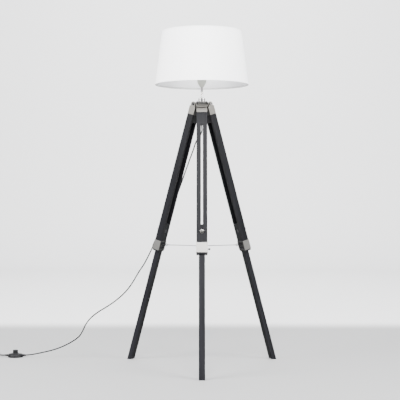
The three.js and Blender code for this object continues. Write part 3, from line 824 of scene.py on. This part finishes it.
def add_hub():
    """The stem, its collar and the hub's parts. Gives the piece that the cord comes out of."""
    def part(name, node, profile, material, radius=0.5, sides=64):
        soft = soften(profile + profile[:1], radius)[:-1]
        return piece(name, ring_of(soft, sides), material, "root", TO_ROW, node)

    part("stem", "stem_tube", [(4, 1093), (5, 1093), (5, 1199.5), (4, 1199.5)], BRIGHT, 0.3, 48)
    collar = [(5.3, 1132.3), (14.6, 1132.3), (15, 1133), (15, 1136), (14.2, 1136.6), (14.2, 1137.4),
              (15, 1138), (15, 1145.6), (14, 1147), (5.3, 1147)]
    part("stem_collar_nut", "stem_collar", collar, BRIGHT, 0.4)
    cap = [(5.3, 1122), (22.2, 1122), (22.2, 1130.6), (20.8, 1132), (5.3, 1132)]
    part("hub_cap_disc", "hub_cap", cap, BRIGHT, 0.9)
    bevelled("hub_block", "hub_casting", NICKEL, "root", 0.7, TO_ROW)
    bevelled("hub_lock_nut", "hub_nut", NICKEL, "root", 0.5, TO_ROW)
    gland = [(3.05, GLAND_LOW), (4, GLAND_LOW)]
    for i in range(7):
        z = GLAND_LOW + 2 + i * 3
        r = 4 + 3.5 * (z - GLAND_LOW) / 22
        gland += [(r + 0.1, z - 0.9), (r + 0.1, z + 0.5), (r - 0.5, z + 0.7), (r - 0.5, z + 1.9)]
    gland += [(7.5, 1085.2), (7.5, 1092), (7, 1092.7), (3.05, 1092.7)]
    gland_piece = piece("cord_strain_relief", ring_of(gland, 40), SWITCH, "root", TO_ROW, "cord_gland")
    cable = soften([(0, GLAND_LOW), (CORD_R, GLAND_LOW), (CORD_R, 1204), (0, 1204)], 0.4)
    piece("cable_in_stem", turned(cable, 24), CORD, "root", TO_ROW, "inner_cable")
    return gland_piece


# ---------------------------------------------------------------- legs
# A leg's own frame has its origin at the hinge. The names in _S are distances down the leg from there.
HALF_W = 22.5
HALF_T = 14.75
COLLAR_WALL = 1.5
PIN_S = 39
GROOVE_S = 25.6
GROOVE_HALF = 1.8
GROOVE_DEEP = 1.3
EYE_FOOT_S = 636.2
SCREW_S = 640.5
COLLAR_PIN_S = 652
BOLT_S = 569
BOLT_R = 3
EYE_RHO = 178
EYE_Z = 513.5
EYE_R = 4.2
EYE_WIRE = 1.5
STAY_R = 1.4
STAY_IN = 9.8
STAY_OUT = 172
SCREW_SIDE = {"front": 1, "right": 1, "left": -1}
WING_OUTLINE = [(4.4, -2.2), (4.6, -7), (5.6, -10.4), (7.6, -11.5), (10.2, -11.2), (11.5, -9.2),
                (11.3, -6.4), (9.4, -4), (7, -2.2)]
# The wings' edge is rounded: heights through their thickness, each with its inset.
WING_EDGE = [(-1.4, 0.8), (-0.9, 0.2), (0, 0), (0.9, 0.2), (1.4, 0.8)]


def carved(bm, cutter):
    """bm with the cutter taken out by an exact boolean."""
    objects = []
    for source in (bm, cutter):
        mesh = bpy.data.meshes.new("carving")
        source.to_mesh(mesh)
        source.free()
        obj = bpy.data.objects.new("carving", mesh)
        bpy.context.scene.collection.objects.link(obj)
        objects.append(obj)
    modifier = objects[0].modifiers.new("carve", "BOOLEAN")
    modifier.operation = "DIFFERENCE"
    modifier.solver = "EXACT"
    modifier.object = objects[1]
    depsgraph = bpy.context.evaluated_depsgraph_get()
    out = bmesh.new()
    out.from_mesh(objects[0].evaluated_get(depsgraph).to_mesh())
    for obj in objects:
        mesh = obj.data
        bpy.data.objects.remove(obj)
        bpy.data.meshes.remove(mesh)
    return out


def groove_box(back, front, spare=0.0):
    """The box across a cap's outer face, between two depths below it."""
    half = HALF_W - 0.4
    tall = GROOVE_HALF + spare
    return box_of(-half, half, back - HALF_T, front - HALF_T, -GROOVE_S - tall, -GROOVE_S + tall)


def add_cap(leg, upper, at):
    bm = from_node(f"{leg}_leg_cap")
    bm.transform(at.inverted())
    cap = carved(bm, groove_box(-5, GROOVE_DEEP))
    mark_inner_shade(cap)
    piece(f"{leg}_cap", cap, (CAP_NICKEL_SHADED, NICKEL_INNER_SHADE), upper, at, f"{leg}_leg_cap", 0.45)
    # A thin near-black strip on the groove's bottom: a painted shadow.
    floor = groove_box(GROOVE_DEEP - 0.2, GROOVE_DEEP + 0.2, 0.1)
    piece(f"{leg}_cap_groove_shadow", floor, GROOVE_SHADOW, upper, at, (), 0.1)


def add_pins(leg, upper, at):
    """Small domed pins on both sides of the upper leg and of its collar."""
    bm = bmesh.new()
    head = soften([(0, 0), (1.15, 0), (1.15, 0.5), (0.6, 0.75), (0, 0.75)], 0.2)
    for side in (-1, 1):
        for face, y, s in ((HALF_W, 9.4, PIN_S), (HALF_W + COLLAR_WALL, 11.2, COLLAR_PIN_S)):
            spot = Matrix.Translation((side * face, y, -s)) @ Matrix.Rotation(side * QUARTER, 4, "Y")
            turned(head, 20, bm, spot)
    piece(f"{leg}_pins", bm, DARK, upper, at, ())


def add_leg(leg):
    upper, lower = f"{leg}_upper", f"{leg}_lower"
    at = leg_matrix(leg)
    add_cap(leg, upper, at)
    bevelled(f"{leg}_upper_leg", f"{leg}_leg_upper", (WOOD, WOOD_INNER_SHADE), upper, 0.8, at)
    bevelled(f"{leg}_lower_leg", f"{leg}_leg_lower", (WOOD_LOWER_LIT, WOOD_INNER_SHADE), lower, 0.9, at)
    bevelled(f"{leg}_collar", f"{leg}_collar_band", (NICKEL, NICKEL_INNER_SHADE), upper, 0.3, at)
    add_pins(leg, upper, at)
    add_eye_bolt(leg, upper, at)
    add_stay(leg)
    add_slot_bolt(leg, lower, at)
    add_wing_nut(leg, at)
    add_thumb_screw(leg, at)
    add_hinge(leg)


def add_eye_bolt(leg, upper, at):
    """A bolt out of the collar's inner face, with an eye that the stay hooks into."""
    lean = math.acos(joint(f"{leg}_leg_slide")["axis"][2])
    inward = PIVOT_R - EYE_RHO
    rise = EYE_Z - PIVOT_Z
    eye = Vector((0, inward * math.cos(lean) - rise * math.sin(lean),
                  inward * math.sin(lean) + rise * math.cos(lean)))
    foot = Vector((0, HALF_T + COLLAR_WALL + 0.3, -EYE_FOOT_S))
    along = (eye - foot).normalized()
    path = [foot.lerp(eye - along * (EYE_R - 0.4), i / 14) for i in range(15)]
    bm = tube(path, 1.75, 16, shape=lambda t: 1 + 0.06 * math.cos(14 * math.tau * t))
    ring = [eye + Vector((0, y, z)) for y, z in circle(EYE_R, 40)]
    tube(ring, EYE_WIRE, 12, bm, closed=True)
    nut = soften([(0, 0), (3.8, 0), (3.8, 1.6), (3.3, 2), (0, 2)], 0.3)
    turned(nut, 32, bm, Matrix.Translation(foot) @ ALONG_Y)
    piece(f"{leg}_eye", bm, DARK, upper, at, f"{leg}_eye_bolt")


def add_stay(leg):
    """A thin wire from the ring under the hub's axis to the eye bolt, with a crimped loop at each end."""
    at = turn_matrix(leg)
    start = Vector((0, -STAY_IN, EYE_Z))
    end = Vector((0, -STAY_OUT, EYE_Z))
    path = [start.lerp(end, i / 40) for i in range(41)]
    bm = tube(path, STAY_R)
    for base, way in ((start, 1), (end, -1)):
        grip = soften([(STAY_R, 0.3), (2.1, 0.3), (2.1, 8), (STAY_R, 8.6)], 0.3)
        turned(grip, 20, bm, Matrix.Translation(base) @ Matrix.Rotation(way * QUARTER, 4, "X"))
    obj = piece(f"{leg}_stay", bm, STAY, None, at, f"{leg}_stay_wire")
    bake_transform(obj)


def add_slot_bolt(leg, lower, at):
    """The bolt through the slot, its domed head sunk in the lower leg."""
    under, top = 11.55, 14.35
    profile = [(0, -28), (2.3, -28), (2.7, -27.4)] + threads(BOLT_R, -27, -14, 0.9, 0.35)
    profile += [(BOLT_R, -13), (BOLT_R, under), (6.8, under), (7, under + 0.3), (6.6, top - 1.4),
                (5, top), (0, top)]
    bm = turned(profile, 40, None, ALONG_Y)
    bmesh.ops.transform(bm, matrix=Matrix.Translation((0, 0, -BOLT_S)), verts=bm.verts)
    piece(f"{leg}_bolt", bm, DARK, lower, at, f"{leg}_slot_bolt")


def add_wing_nut(leg, at):
    """A cast nut with a flange, a tapered boss and two rounded wings that spread outward."""
    face = -HALF_T - 0.3
    boss = [(3.35, face - 8), (4.6, face - 8), (5.1, face - 7.4), (6.2, face - 1.9), (8.3, face - 1.5),
            (8.5, face - 1.1), (8.5, face - 0.2), (8.2, face), (3.35, face)]
    bm = ring_of(boss, 48, None, ALONG_Y)
    for side in (-1, 1):
        outline = [(side * x, face + y) for x, y in WING_OUTLINE]
        cx, cy = (sum(values) / len(outline) for values in zip(*outline))
        rings = []
        for z, inset in WING_EDGE:
            ring = []
            for x, y in outline:
                reach = math.hypot(x - cx, y - cy)
                keep = (reach - inset) / reach
                ring.append(bm.verts.new((cx + (x - cx) * keep, cy + (y - cy) * keep, z)))
            rings.append(ring)
        loft(bm, rings)
    bmesh.ops.transform(bm, matrix=Matrix.Translation((0, 0, -BOLT_S)), verts=bm.verts)
    piece(f"{leg}_wing", bm, NICKEL, f"{leg}_wing", at, f"{leg}_wing_nut", 0.3)


def add_thumb_screw(leg, at):
    def knurl(angle, x):
        return 1 + (0.05 * math.cos(24 * angle) if 27.6 < x < 33.6 else 0)

    profile = [(0, 13.1), (1.7, 13.1), (2, 13.6), (2, 27), (3.6, 27), (3.8, 27.4), (3.8, 27.7), (3.75, 27.9),
               (3.75, 33.4), (3.7, 33.7), (3.2, 34.5), (0, 34.5)]
    turn = ALONG_X if SCREW_SIDE[leg] > 0 else Matrix.Rotation(math.pi, 4, "Z") @ ALONG_X
    bm = turned(profile, 96, None, Matrix.Translation((0, 0, -SCREW_S)) @ turn, knurl)
    piece(f"{leg}_screw_knob", bm, DARK, f"{leg}_screw", at, f"{leg}_thumb_screw")


def add_hinge(leg):
    """The bolt and nut that a leg hangs on, at the hub."""
    at = turn_matrix(leg) @ Matrix.Translation((0, -PIVOT_R, PIVOT_Z))
    profile = [(0, -28.8), (2.6, -28.8)] + threads(BOLT_R, -28.2, -21.5, 0.9, 0.3)
    profile += [(BOLT_R, 22.8), (5.7, 22.8), (6, 23.1), (5.8, 24.6), (4.6, 25.6), (2.2, 25.8), (1.6, 25.8),
                (1.4, 24.8), (0, 24.8)]
    bm = turned(profile, 40, None, ALONG_X)
    piece(f"{leg}_pivot_bolt", bm, DARK, "root", at, f"{leg}_hinge_bolt")
    bevelled(f"{leg}_hinge_nut", f"{leg}_pivot_nut", NICKEL, "root", 0.5, at)


def add_spreader_ring():
    ring = tube(circle_path(8, EYE_Z, 48), EYE_WIRE, closed=True)
    piece("stay_ring", ring, STAY, "root", TO_ROW, "spreader_ring")


# ---------------------------------------------------------------- room and light
# The floor's own tone ends and the wall's begins between these distances behind the lamp, in metres.
FLOOR_BACK = 1.3
WALL_FRONT = 1.7
FLOOR_TONE = (0.3, 0.3, 0.3)
WALL_TONE = (0.76, 0.76, 0.758)
ROOM_HALF = 9
ROOM_FRONT = -8
ROOM_BACK = 7
ROOM_HIGH = 8
ROOM_BEND = 1.2
AIR = (0.93, 0.95, 1.0)
AIR_STRENGTH = 1.05
# Area lights: place, aim, side of the square (all in metres from the lamp's foot) and power in watts.
LIGHTS = {
    "left_window": ((-3.6, -2.3, 2.7), (0, 0, 0.9), 2.4, 600),
    "right_window": ((3.6, -2.6, 2.7), (0, 0, 0.9), 2.4, 590),
    "front_soft": ((0, -4.6, 4.8), (0, 0, 0.8), 2.6, 840),
    "wall": ((0, 3.2, 4.8), (0, 6.6, 1.2), 3.5, 400),
}


def studio_paint():
    """Pale grey on the floor round the lamp, easing into the lighter wall behind it."""
    m = Nodes("studio_floor")
    split = m.add("ShaderNodeSeparateXYZ")
    m.link(m.add("ShaderNodeTexCoord").outputs["Object"], split.inputs["Vector"])
    share = m.add("ShaderNodeMapRange", From_Min=FLOOR_BACK, From_Max=WALL_FRONT)
    share.interpolation_type = "SMOOTHSTEP"
    m.link(split.outputs["Y"], share.inputs["Value"])
    m.colour(m.ramp(share.outputs["Result"], FLOOR_TONE, WALL_TONE, 0.0, 1.0))
    m.set(Roughness=0.75)
    return m.material


def add_room():
    """A floor that bends up into the back wall, as one sheet."""
    bm = bmesh.new()
    foot = ROOM_BACK - ROOM_BEND
    outline = [(ROOM_FRONT, 0), (foot, 0)]
    outline += [(foot + ROOM_BEND * math.sin(a), ROOM_BEND - ROOM_BEND * math.cos(a))
                for a in (QUARTER * i / 16 for i in range(1, 17))]
    outline.append((ROOM_BACK, ROOM_HIGH))
    left, right = [[bm.verts.new((x, AXIS.y + y, z)) for y, z in outline] for x in (-ROOM_HALF, ROOM_HALF)]
    for i in range(len(outline) - 1):
        bm.faces.new((left[i], right[i], right[i + 1], left[i + 1]))
    piece("studio", bm, studio_paint(), None, Matrix.Identity(4), grain=False)


def add_light():
    world = bpy.data.worlds.new("studio_air")
    world.use_nodes = True
    background = world.node_tree.nodes["Background"]
    background.inputs["Color"].default_value = (*AIR, 1)
    background.inputs["Strength"].default_value = AIR_STRENGTH
    bpy.context.scene.world = world
    for name, (place, aim, size, power) in LIGHTS.items():
        data = bpy.data.lights.new(name, "AREA")
        data.energy = power
        data.size = size
        light = bpy.data.objects.new(name, data)
        light.location = AXIS + Vector(place)
        light.rotation_euler = (Vector(aim) - Vector(place)).to_track_quat("-Z", "Y").to_euler()
        bpy.context.scene.collection.objects.link(light)


add_camera()
gland_piece = add_hub()
switch_pieces, out_gland = add_switch()
plug_pieces = add_plug()
add_cords([gland_piece], switch_pieces, out_gland + plug_pieces)
add_shade()
add_holder()
add_spreader_ring()
for leg in LEGS:
    add_leg(leg)
bevelled("cable_clip", "left_cord_clip", NICKEL, "left_upper", 0.25, leg_matrix("left"))
add_room()
add_light()
